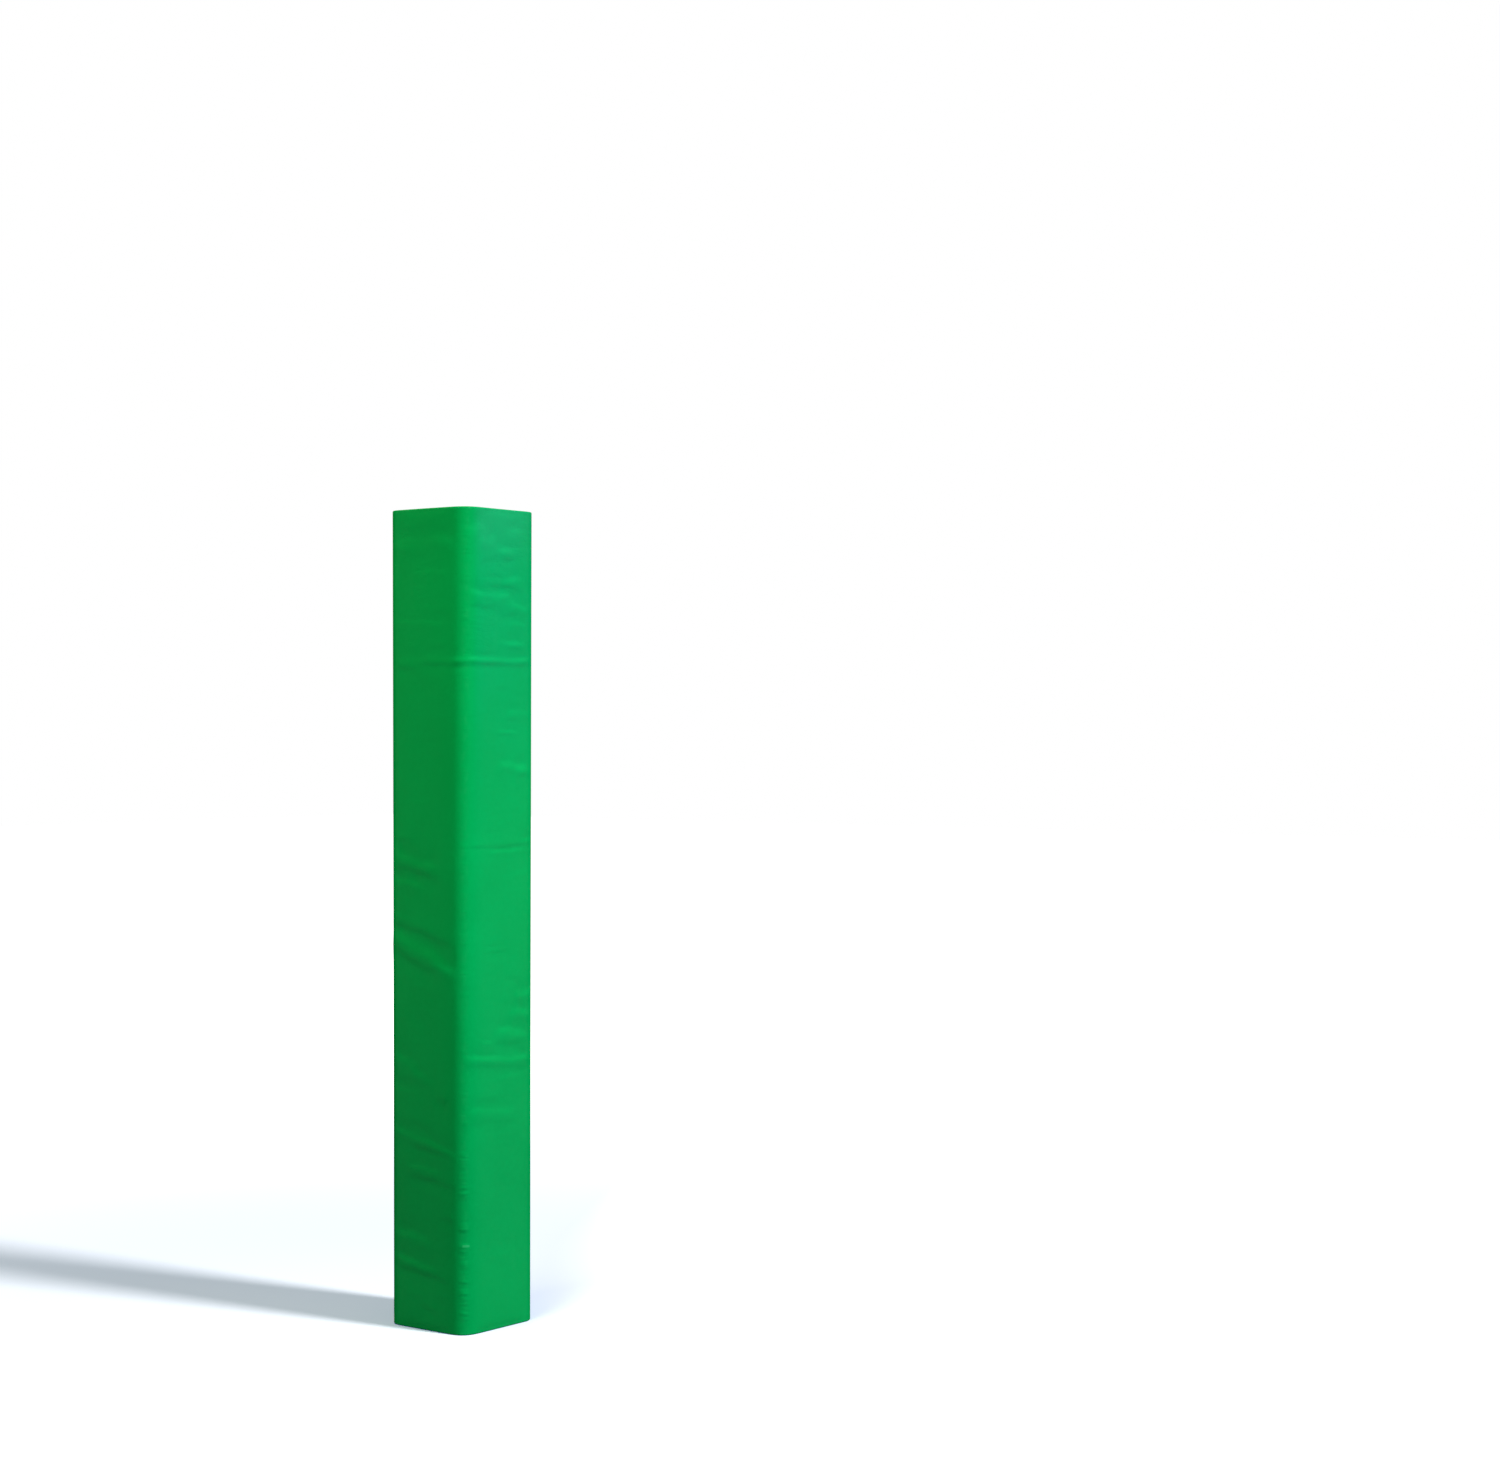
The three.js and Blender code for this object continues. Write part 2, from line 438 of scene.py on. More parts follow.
def makeFibre(name):
    # thread is twisted, hooks stand in rows and loops lie in a tangle
    look = fibreLooks[name]
    material, shader, vector = newMaterial(name, cutMap="twist" not in look)
    if "twist" in look:
        height = noiseOf(vector, look["twist"], 2.0)
    elif "rows" in look:
        height = smooth(placeGroup(weaveThreads, vector, Pitch=look["rows"])[0], 0.45, 0.95)
    else:
        tangle = cellsOf(vector, look["tangle"], feature="DISTANCE_TO_EDGE")
        height = timesPlus(tangle, 1.5, noiseOf(vector, 1400.0, 5.0, 0.7))
    # the lower parts are darker: painted shade in the hollows
    finishShader(shader, look, mixColour(height, look["shade"], look["colour"]), height)
    return material


coverCloth = makeCoverCloth()
coverBack, liningCloth, tapeWeb = (makePlainCloth(name) for name in plainLooks)
cutFoam = makeFoam()
sewingThread, hookPile, loopPile = (makeFibre(name) for name in fibreLooks)
print("stage: materials")


# Cloth that is cut flat and wrapped round the pad

# The cloth turns a corner more softly than a plain arc does, over these lengths of cloth
softTurn = {"nearCorner": 0.145, "corner": 0.116}


def turnPath():
    # for a turn that is 1 long
    share = np.linspace(0, 1, 241)
    turned = pi / 2 * share - np.sin(2 * pi * share) / 4
    ahead = np.column_stack([np.cos(turned), np.sin(turned)])
    steps = (ahead[1:] + ahead[:-1]) / 2 * np.diff(share)[:, None]
    return share, turned, np.concatenate([[(0, 0)], np.cumsum(steps, axis=0)])


turnShare, turnAngle, turnPlaces = turnPath()


def easeOf(soft):
    # how far before a plain arc's start the soft turn starts
    return soft * turnPlaces[-1, 0] - cornerRadius


def outlineAt(along):
    # places and outward directions round the pad, anticlockwise from the front face's left end;
    # along counts a corner as the plain arc of the solids, so that heights and hinges agree
    side = np.floor((along - faceLength / 2) / sidePitch)  # the face before the nearest corner
    fromCorner = along - side * sidePitch - faceLength - cornerLength / 2
    soft = np.where(side % 4 == 3, softTurn["nearCorner"], softTurn["corner"])
    half = easeOf(soft) + cornerLength / 2
    share = np.clip(fromCorner / half / 2 + 0.5, 0, 1)
    angle = np.interp(share, turnShare, turnAngle)
    x = arcCentre - easeOf(soft) + np.interp(share, turnShare, turnPlaces[:, 0]) * soft
    y = -outerHalf + np.interp(share, turnShare, turnPlaces[:, 1]) * soft
    x = x + np.minimum(fromCorner + half, 0)
    y = y + np.maximum(fromCorner - half, 0)
    c, s = np.cos(side * pi / 2), np.sin(side * pi / 2)
    places = np.stack([c * x - s * y, s * x + c * y], -1)
    angle = angle + side * pi / 2
    return places, np.stack([np.sin(angle), -np.cos(angle)], -1)


sideNumber = {"front": 0, "right": 1, "rear": 2, "left": 3}

# The wrap is a little fuller towards its top, and its front left corner stands askew there
settle = {"fullLow": 0.0012, "fullRise": 0.0045, "askew": 0.006, "askewFrom": 1.3}


def eased(share):
    share = np.clip(share, 0, 1)
    return share * share * (3 - 2 * share)


def fullness(height):
    return settle["fullLow"] + settle["fullRise"] * (height / padHeight) ** 1.2


def onWrap(along, depth, height):
    # places at a depth under the wrap's outer surface; the arrays have one shape
    places, outward = outlineAt(along)
    fromCorner = (along + cornerLength / 2 + 2 * sidePitch) % (4 * sidePitch) - 2 * sidePitch
    rise = eased((height - settle["askewFrom"]) / (padHeight - settle["askewFrom"]))
    askew = settle["askew"] * eased(1 - 2 * np.abs(fromCorner) / sidePitch) * rise
    inward = depth - fullness(height)
    return places - outward * inward[..., None] + askew[..., None] * (diagonal, -diagonal)


def joinedSteps(marks, counts):
    # values that run from mark to mark in the given numbers of equal steps
    values = [np.linspace(a, b, n + 1)[:-1] for a, b, n in zip(marks, marks[1:], counts)]
    return np.concatenate([*values, [marks[-1]]])


def lengthsAlong(points):
    # how far along their path the points lie
    return np.concatenate([[0], np.cumsum(np.hypot(*np.diff(points, axis=0).T))])


def readAll(items, key, width, kind=float):
    found = np.zeros(len(items) * width, kind)
    items.foreach_get(key, found)
    return found.reshape(-1, width)


def coordinates(piece):
    return readAll(piece.data.vertices, "co", 3)


def directions(piece):
    return readAll(piece.data.vertex_normals, "vector", 3)


def loopVertices(piece):
    return readAll(piece.data.loops, "vertex_index", 1, int)[:, 0]


def moveTo(piece, spots):
    piece.data.vertices.foreach_set("co", spots.ravel())


def pushOut(piece, lift):
    moveTo(piece, coordinates(piece) + directions(piece) * lift[:, None])


def layCloth(name, spots, cut):
    # a flat grid is carried to its place on the pad: spots and cut hold each vertex's place in
    # space and on the flat cut, by column and row
    columns, rows = spots.shape[0] - 1, spots.shape[1] - 1
    steps = {"x_subdivisions": columns, "y_subdivisions": rows}
    bpy.ops.mesh.primitive_grid_add(size=1, calc_uvs=False, **steps)
    sheet = named(name)
    flat = coordinates(sheet)[:, :2]
    column, row = np.rint((flat + 0.5) * (columns, rows)).astype(int).T
    moveTo(sheet, spots[column, row])
    layer = sheet.data.uv_layers.new(name="cut").data
    layer.foreach_set("uv", cut[column, row][loopVertices(sheet)].ravel())
    sheet.data.update()
    return sheet


def layStrip(name, places, cut, height):
    # the same section all the way up; places may have one section, or one for each height
    tall = np.broadcast_to(height, (len(cut), len(height)))
    flat = np.broadcast_to(places, (len(cut), len(height), 2))
    return layCloth(name, np.dstack([flat, tall]), np.dstack(np.meshgrid(cut, height, indexing="ij")))


def cutPlaces(sheet):
    # each vertex's place on the flat cut, read back from the map
    found = np.zeros((len(sheet.data.vertices), 2))
    found[loopVertices(sheet)] = readAll(sheet.data.uv_layers["cut"].data, "uv", 2)
    return found.T


def workOn(piece):
    bpy.ops.object.select_all(action="DESELECT")
    bpy.context.view_layer.objects.active = piece
    piece.select_set(True)


def applyModifier(piece, kind, **settings):
    workOn(piece)
    made = piece.modifiers.new(kind.title(), kind)
    for key, value in settings.items():
        setattr(made, key, value)
    bpy.ops.object.modifier_apply(modifier=made.name)


def refine(piece):
    applyModifier(piece, "SUBSURF", levels=1, boundary_smooth="PRESERVE_CORNERS")


def thicken(piece, thickness, **settings):
    applyModifier(piece, "SOLIDIFY", thickness=thickness, offset=-1, **settings)


def addMaterials(piece, *materials):
    for material in materials:
        piece.data.materials.append(material)


def dress(piece, degrees, *materials):
    addMaterials(piece, *materials)
    workOn(piece)
    bpy.ops.object.shade_smooth_by_angle(angle=radians(degrees))


# Outer covers

cover = {
    # the roll is the radius of the top and bottom edges, and each cover laps on to the next face
    "thickness": 0.0012, "roll": 0.004, "hem": 0.012, "lap": 0.0105, "closingSetback": 0.0010,
    "faceSteps": 9, "easeSteps": 3, "cornerSteps": 8, "upStep": 0.0065,
    # the simulation, with the width along its edges that is held
    "held": 0.012, "slack": 0.0004, "pressure": 4.0, "frames": 20,
    "outCap": 0.0020, "inCap": 0.0003, "asideCap": 0.001,
}


def coverRows():
    roll, hem, ground = cover["roll"], cover["hem"], 0.0003
    turn = np.linspace(pi / 2, 0, 4)[1:]
    low = [(hem, ground), ((hem + roll) / 2, ground), (roll, ground)]
    low += [(roll - roll * cos(a), roll - (roll - ground) * sin(a)) for a in turn]
    steps = round((padHeight - 2 * roll) / cover["upStep"])
    middle = [(0, z) for z in np.linspace(roll, padHeight - roll, steps + 1)[1:-1]]
    high = [(d, padHeight - z + ground) if z < roll else (d, padHeight - roll) for d, z in reversed(low)]
    path = np.array(low + middle + high)
    cutUp = lengthsAlong(path)
    cutUp += path[len(low), 1] - cutUp[len(low)]  # the face's cut places are its heights
    return path[:, 0], path[:, 1], cutUp


def makeCover(name, marks, counts):
    depth, height, cutUp = coverRows()
    along, depth = np.meshgrid(joinedSteps(marks, counts), depth, indexing="ij")
    height, cutUp = (np.broadcast_to(row, along.shape) for row in (height, cutUp))
    return layCloth(name, np.dstack([onWrap(along, depth, height), height]), np.dstack([along, cutUp]))


# a cover's columns are closer together on the corners and where the cloth starts to turn
lap, ease, nearEase = cover["lap"], easeOf(softTurn["corner"]), easeOf(softTurn["nearCorner"])
closingPlace = 2 * sidePitch - cornerLength / 2
face, corner, start = cover["faceSteps"], cover["cornerSteps"], cover["easeSteps"]


def faceMarks(number):
    first = number * sidePitch
    return [first, first + ease, first + faceLength - ease, first + faceLength]


frontLeftCover = makeCover("frontLeftCover", [
    lap - sidePitch, ease - sidePitch, -cornerLength - nearEase, -cornerLength,
    0, nearEase, faceLength - ease, faceLength - lap,
], [start - 1, face, start + 1, corner, start + 1, face, start - 1])
rightCover = makeCover("rightCover", [
    faceLength - lap, faceLength, *faceMarks(1), closingPlace - cover["closingSetback"],
], [1, corner, start, face, start, corner // 2])
rearCover = makeCover("rearCover", [
    closingPlace + cover["closingSetback"], *faceMarks(2), 3 * sidePitch, 3 * sidePitch + lap,
], [corner // 2, start, face, start, corner, 1])
covers = [frontLeftCover, rightCover, rearCover]


def heldPlaces(along, up):
    held, place = cover["held"], along % sidePitch
    free = (place > held) & (place < faceLength - held)
    free &= (along > along.min() + held) & (along < along.max() - held)
    free &= (up > held) & (up < padHeight - held)
    return np.flatnonzero(~free).tolist()


def settleCovers():
    # the cloth is a little longer than the foam and is pushed out, held at its corners and hems
    rest = [(coordinates(piece), directions(piece)) for piece in covers]
    for piece in covers:
        group = piece.vertex_groups.new(name="held")
        group.add(heldPlaces(*cutPlaces(piece)), 1.0, "REPLACE")
        cloth = piece.modifiers.new("Cloth", "CLOTH")
        cloth.collision_settings.use_collision = False
        cloth = cloth.settings
        cloth.quality = 6
        cloth.vertex_group_mass = "held"
        cloth.use_pressure = True
        cloth.uniform_pressure_force = cover["pressure"]
        cloth.shrink_min = -cover["slack"]
        cloth.effector_weights.gravity = 0
    for number in range(cover["frames"]):
        scene.frame_set(number + 1)
    for piece, (start, outwards) in zip(covers, rest):
        bpy.context.view_layer.objects.active = piece
        bpy.ops.object.modifier_apply(modifier="Cloth")
        moved = coordinates(piece) - start
        out = (moved * outwards).sum(1)
        aside = moved - outwards * out[:, None]
        print("  cloth moved", piece.name, round(float(np.abs(out).max() * 1000), 2), "mm")
        pushed = cover["outCap"] * np.tanh(out / cover["outCap"])
        out = np.where(out > 0, pushed, np.maximum(out, -cover["inCap"]))
        slid = np.maximum(np.linalg.norm(aside, axis=1), 1e-9)
        aside *= np.minimum(1, cover["asideCap"] / slid)[:, None]
        moveTo(piece, start + outwards * out[:, None] + aside)
        piece.data.update()
        piece.vertex_groups.clear()
    scene.frame_set(1)


settleCovers()
print("stage: cover cloth settled")


# Creases on a face: where each starts and ends (per cent of its width, height), its width and how
# many degrees its middle leans back, below zero forwards. Heights and widths are in millimetres.
frontCreases = [
    (-20, 2532, 30, 2535, 16, 6.5), (0, 2505, 45, 2500, 14, 7.2), (55, 2530, 90, 2525, 14, 5.8),
    (28, 2468, 90, 2477, 9, 10.9), (5, 2424, 48, 2452, 9, -5.8), (45, 2440, 76, 2442, 7, -10.9),
    (5, 2376, 50, 2374, 8, 4.3), (45, 2368, 92, 2386, 9, 9.4), (22, 2362, 88, 2346, 7, -8.0),
    (-15, 2337, 72, 2320, 10, 12.3), (58, 2318, 102, 2276, 9, 10.9), (-15, 2290, 45, 2288, 8, -7.2),
    (45, 2252, 82, 2278, 8, -5.8), (62, 2240, 98, 2236, 7, 8.0), (40, 2183, 100, 2168, 7, 10.0),
    (42, 2168, 95, 2155, 7, -4.3), (-35, 2121, 109, 2125, 7, 14.0), (-35, 2104, 109, 2109, 8, -10.5),
    (36, 2033, 66, 2030, 8, -4.3), (50, 1953, 109, 1957, 8, 5.8), (52, 1932, 84, 1928, 6, -3.6),
    (38, 1898, 86, 1890, 5, 8.7), (36, 1884, 72, 1882, 5, -5.8), (36, 1796, 109, 1774, 12, 11.6),
    (78, 1756, 109, 1752, 7, -6.5), (-15, 1530, 109, 1531, 6, -7.2), (20, 1513, 94, 1518, 5, 10.2),
    (84, 1552, 109, 1546, 6, 9.4), (86, 1504, 109, 1508, 5, -5.1), (65, 1445, 105, 1447, 8, 4.3),
    (14, 1222, 60, 1217, 4, -5.1), (14, 1192, 72, 1202, 4, -6.5), (72, 1062, 109, 1056, 12, 12.3),
    (62, 1002, 109, 997, 13, 11.0), (32, 960, 109, 917, 11, 11.0), (5, 924, 40, 906, 5, 7.2),
    (30, 912, 95, 893, 11, -6.5), (-20, 869, 109, 849, 8, 12.5), (-20, 844, 109, 823, 12, -5.0),
    (40, 801, 90, 798, 7, 4.3), (-10, 732, 62, 728, 9, -3.6), (-15, 702, 80, 689, 10, 5.8),
    (-15, 664, 85, 652, 11, -5.1),
]
leftCreases = [
    (-12, 2502, 105, 2495, 17, 6.7), (15, 2455, 60, 2452, 8, -2.9), (38, 2402, 92, 2398, 7, 4.1),
    (55, 2272, 100, 2268, 10, -2.9), (-12, 2246, 95, 2236, 8, 5.4), (55, 2160, 90, 2162, 8, -4.8),
    (45, 2136, 75, 2132, 7, 4.3), (-12, 2122, 110, 2124, 9, 3.2), (-12, 2094, 42, 2096, 9, -9.3),
    (30, 2104, 115, 2107, 8, -8.4), (-12, 1555, 36, 1543, 10, -6.7), (-12, 1506, 78, 1462, 13, 10.6),
    (-12, 1465, 86, 1428, 12, -8.4), (-12, 1429, 52, 1402, 10, 10.6), (-12, 1315, 30, 1298, 7, 4.1),
    (-12, 1290, 102, 1217, 13, -9.6), (-12, 1267, 108, 1128, 17, 14.9), (-12, 1209, 78, 1122, 13, -8.7),
    (-12, 861, 40, 842, 13, 9.4), (18, 836, 52, 798, 8, 5.8), (-12, 804, 66, 764, 11, -3.6),
    (66, 738, 94, 724, 14, -7.2), (-12, 768, 42, 744, 8, 5.4), (-12, 638, 108, 562, 9, 11.3),
    (12, 592, 98, 556, 11, -7.8), (12, 518, 80, 506, 7, 9.4), (12, 490, 105, 462, 11, -9.6),
    (76, 362, 100, 357, 9, -6.7), (-12, 315, 66, 276, 13, 12.0), (-12, 227, 70, 196, 9, 13.5),
    (-5, 196, 100, 162, 10, -8.6), (40, 72, 70, 68, 9, -6.7),
]

# Fainter creases, strewn by chance: the side, how many, the lowest and highest places, the
# share of the width they keep to, their fall across the face and their lean
crumples = [
    ("front", 14, 2.13, 2.56, 0.05, 1.05, -0.035, 4.0),
    ("front", 10, 1.62, 2.02, 0.45, 1.08, -0.010, 3.0),
    ("front", 10, 0.86, 1.16, 0.40, 1.08, -0.025, 3.5),
    ("front", 10, 0.10, 0.84, 0.00, 1.05, -0.012, 2.5),
    ("front", 8, 1.15, 1.60, 0.00, 1.05, 0.006, 2.0),
    ("left", 12, 1.62, 2.56, -0.05, 1.00, 0.010, 2.5),
    ("left", 10, 0.95, 1.62, -0.05, 0.95, -0.070, 3.0),
    ("left", 16, 0.06, 0.90, -0.05, 0.95, -0.055, 3.5),
    ("right", 44, 0.08, 2.54, -0.10, 1.05, -0.030, 7.0),
    ("rear", 44, 0.08, 2.54, -0.05, 1.10, -0.030, 7.0),
]


def allCreases():
    for side, rows in (("front", frontCreases), ("left", leftCreases)):
        for start, low, finish, high, width, lean in rows:
            yield side, start / 100, low / 1000, finish / 100, high / 1000, width, lean
    chance = np.random.default_rng(41)
    for side, count, low, high, first, last, fall, lean in crumples:
        for height in chance.uniform(low, high, count):
            span = (last - first) * chance.uniform(0.30, 0.75)
            start = chance.uniform(first, last - span)
            drop = (fall + chance.uniform(-0.012, 0.012)) * span
            tip = chance.choice([-1, 1]) * lean * chance.uniform(0.5, 1.0)
            yield side, start, height, start + span, height + drop, chance.uniform(5, 12), tip


def creaseLift(along, up):
    lift = np.zeros(len(along))
    for side, start, low, finish, high, width, lean in allCreases():
        fromStart = along - sideNumber[side] * sidePitch - start * faceLength
        fromStart = (fromStart + 2 * sidePitch) % (4 * sidePitch) - 2 * sidePitch
        run, climb = (finish - start) * faceLength, high - low
        length = hypot(run, climb)
        share = (fromStart * run + (up - low) * climb) / length**2
        away = ((up - low) * run - fromStart * climb) / length * 1000 / width
        away = away + 0.28 * np.sin(share * 7 + low * 40) + 0.14 * np.sin(share * 17 + low * 90)
        strength = 0.92 + 0.25 * np.sin(share * 11 + low * 70)
        profile = -np.tanh(away) * np.exp(-(away**2) / 9) * radians(lean) * width / 1000
        lift += profile * strength * eased(np.minimum(share, 1 - share) * max(length / 0.055, 3.3))
    return lift


def broadLift(along, up):
    # the foam behind is not quite flat
    rest = along % sidePitch
    wave = np.sin(up * 9.1 + along * 7) + 0.7 * np.sin(up * 21 - along * 13 + 1)
    wave += 0.5 * np.sin(up * 43 + along * 31)
    return 0.00022 * wave * eased(np.minimum(rest, faceLength - rest) / 0.06)


for piece in covers:
    refine(piece)
    along, up = cutPlaces(piece)
    fade = eased(np.minimum(up, padHeight - up) / 0.03) * eased(np.abs(along - closingPlace) / 0.04 - 0.4)
    pushOut(piece, (creaseLift(along, up) + broadLift(along, up)) * fade)
    piece.data.update()
    addMaterials(piece, coverCloth, coverBack)
    thicken(piece, cover["thickness"], material_offset=1, use_even_offset=True)
    dress(piece, 50)
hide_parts("front_cover_panel", "left_cover_panel", "front_left_fold")
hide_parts("right_cover_panel", "front_right_fold")
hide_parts("rear_cover_panel", "left_rear_fold")
print("stage: covers creased and finished")


# Which bodies each fold joins, and the corner it turns

folds = {
    "frontLeft": ("front_panel", "left_panel", (-arcCentre, -outerHalf, 0), (-outerHalf, -arcCentre, 0)),
    "frontRight": ("front_panel", "right_panel", (arcCentre, -outerHalf, 0), (outerHalf, -arcCentre, 0)),
    "leftRear": ("left_panel", "rear_panel", (-outerHalf, arcCentre, 0), (-arcCentre, outerHalf, 0)),
}


def bendWith(piece, fold):
    first, second, start, finish = folds[fold]
    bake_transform(piece)
    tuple(start)
    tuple(finish)


bendWith(frontLeftCover, "frontLeft")
bendWith(rightCover, "frontRight")
bendWith(rearCover, "leftRear")


# Pieces of the four panels, each modelled as the front one and turned to its side

panels = {
    "front": {"turn": 0, "leftTape": 0.0, "rightTape": 0.0, "nearEnd": -1},
    "right": {"turn": 90, "leftTape": 0.0, "rightTape": 0.0022, "nearEnd": 0},
    "rear": {"turn": 180, "leftTape": 0.0016, "rightTape": 0.0, "nearEnd": 0},
    "left": {"turn": 270, "leftTape": 0.0, "rightTape": 0.0, "nearEnd": 1},
}
joinSetback, layerGap = 0.0002, 0.0003


def setbackOf(tape):
    return joinSetback + (tape + layerGap if tape else 0)


def enterEdit(piece, mode="EDGE"):
    workOn(piece)
    bpy.ops.object.mode_set(mode="EDIT")
    bpy.ops.mesh.select_mode(type=mode)


def leaveEdit():
    bpy.ops.object.mode_set(mode="OBJECT")


def roundEdges(width):
    bpy.ops.mesh.select_all(action="SELECT")
    bpy.ops.mesh.bevel(offset=width, segments=2, affect="EDGES")
    leaveEdit()


def cutAcross(point, normal, **settings):
    bpy.ops.mesh.select_all(action="SELECT")
    bpy.ops.mesh.bisect(plane_co=point, plane_no=normal, **settings)


def sliceOff(point, normal):
    cutAcross(point, normal, use_fill=True, clear_outer=True)


def addBlock(name, low, high):
    low, high = Vector(low), Vector(high)
    bpy.ops.mesh.primitive_cube_add(size=1, location=(low + high) / 2, scale=high - low)
    bpy.ops.object.transform_apply()
    return named(name)


def turnToSide(piece, degrees):
    workOn(piece)
    piece.rotation_euler.z = radians(degrees)
    bpy.ops.object.transform_apply()


foam = {
    "under": 0.0026, "outerGap": 0.0048, "innerGap": 0.0012, "mitreGap": 0.0012,
    "chamferReach": 0.1505, "nearReach": 0.1472, "nearChamfer": 0.012, "round": 0.0025,
    "endMargin": 0.13, "rings": 19,
}


def makeFoamBoard(side, look):
    low, high = foam["under"], padHeight - foam["under"]
    outer, inner = outerHalf - foam["outerGap"], boreHalf + foam["innerGap"]
    # a square block is sliced down to one side's mitred quarter
    block = addBlock(side + "Foam", (-outer, -outer, low), (outer, outer, high))
    enterEdit(block)
    for hand, end in ((1, "rightTape"), (-1, "leftTape")):
        away = Vector((hand * diagonal, diagonal, 0))
        sliceOff(away * -(setbackOf(look[end]) + foam["mitreGap"]), away)
    sliceOff((0, -inner, 0), (0, 1, 0))
    # the outer corners are cut back, so that the cover lies flat when the wrap is opened
    for hand in (-1, 1):
        near = hand == look["nearEnd"]
        reach = foam["nearReach"] if near else foam["chamferReach"]
        first = arcCentre - (foam["nearChamfer"] if near else 0)
        slope = Vector((hand * (outer - reach), -(reach - first), 0)).normalized()
        sliceOff((hand * first, -outer, 0), slope)
    roundEdges(foam["round"])
    enterEdit(block)
    for height in np.linspace(foam["endMargin"], padHeight - foam["endMargin"], foam["rings"]):
        cutAcross((0, 0, height), (0, 0, 1))
    leaveEdit()
    turnToSide(block, look["turn"])
    dress(block, 40, cutFoam)
    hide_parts(side + "_foam_board")
    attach(block, side + "_panel")


gusset = {
    "under": 0.00135, "thickness": 0.0010, "inset": 0.0034, "tipInset": 0.0028, "tipLength": 0.02,
    "crown": 0.0010, "deepSteps": 10,
}


def mitrePlace(reach, setback, hand):
    # a point on a mitred end: how far out along y, and how far in from the mitre plane
    return np.array([hand * (reach - setback / diagonal), -reach])


def gussetOutline(side, look, top):
    endPlace = cornerLength / 2 - joinSetback
    # where the corner stands askew its two gussets still meet on the mitre
    first = -endPlace - (settle["askew"] if top and side == "front" else 0)
    last = faceLength + endPlace - (settle["askew"] if top and side == "left" else 0)
    along = joinedSteps([first, 0, faceLength, last], [8, 24, 8])
    # a fold needs a little more room for its gussets' tips when it opens
    leftTip = along - first + 9 * bool(look["leftTape"])
    rightTip = last - along + 9 * bool(look["rightTape"])
    tip = eased(1 - np.minimum(leftTip, rightTip) / gusset["tipLength"])
    inset = gusset["inset"] + gusset["tipInset"] * tip
    height = np.full(len(along), padHeight if top else 0.0)
    outer = onWrap(along + sideNumber[side] * sidePitch, inset, height)
    back = radians(look["turn"])
    return outer @ np.array([[cos(back), -sin(back)], [sin(back), cos(back)]])


def makeGusset(side, look, top):
    # a sheet out to the rounded outline, that the foam fills out a little
    end = "Top" if top else "Bottom"
    outer = gussetOutline(side, look, top)
    share = lengthsAlong(outer)
    share /= share[-1]
    ends = [mitrePlace(boreHalf, joinSetback, hand) for hand in (-1, 1)]
    inner = ends[0] + (ends[1] - ends[0]) * share[:, None]
    deep = np.linspace(0, 1, gusset["deepSteps"] + 1)
    plan = inner[:, None] + (outer - inner)[:, None] * deep[:, None]
    fill = (4 * share * (1 - share))[:, None] ** 0.35 * (4 * deep * (1 - deep)) ** 0.8
    ripple = 1 + 0.12 * np.sin(share * 41)[:, None] * np.cos(deep * 3)
    lift = gusset["crown"] * fill * ripple - gusset["under"]
    height = padHeight + lift if top else -lift
    spots = np.concatenate([plan, height[:, :, None]], axis=2)
    cut = plan + (faceLength / 2, padHeight / 2)
    if top:
        spots, cut = spots[:, ::-1], cut[:, ::-1]
    sheet = layCloth(side + end + "Gusset", spots, cut)
    thicken(sheet, gusset["thickness"])
    turnToSide(sheet, look["turn"])
    dress(sheet, 50, coverCloth)
    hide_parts(side + "_" + end.lower() + "_gusset")
    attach(sheet, side + "_panel")


for side, look in panels.items():
    makeFoamBoard(side, look)
    makeGusset(side, look, False)
    makeGusset(side, look, True)
print("stage: foam boards and end gussets")


# Linings: a sheet for each panel, from one mitred edge over the inner face to the other

lining = {
    "thickness": 0.0008, "under": 0.00245, "foldShort": 0.0048, "closingShort": 0.0026,
    "nearShort": 0.0094, "corner": 0.0022, "upStep": 0.040, "unevenness": 0.00025,
}


def liningEnd(hand, tape, near):
    # from beside the cover, along the mitre and round the bend on to the inner face, with how
    # far each point goes out with the cover where the wrap is fuller
    gap, radius = setbackOf(tape), lining["corner"]
    short = lining["closingShort"] if tape else lining["nearShort" if near else "foldShort"]
    reach = arcCentre + (cornerRadius - cover["thickness"] - short) * diagonal
    leg = np.linspace(reach, boreHalf + radius * (1 + diagonal), 4)[:-1]
    places = [mitrePlace(r, gap, hand) for r in leg]
    outwards = [share * np.array([hand, -1]) * diagonal for share in (1, 0.66, 0.33)]
    middle = mitrePlace(boreHalf + radius, gap + radius, hand)
    for turn in np.radians(np.linspace(45, 90, 4)):
        places.append(middle + radius * np.array([hand * cos(turn), sin(turn)]))
        outwards.append(np.zeros(2))
    return np.array(places), np.array(outwards)


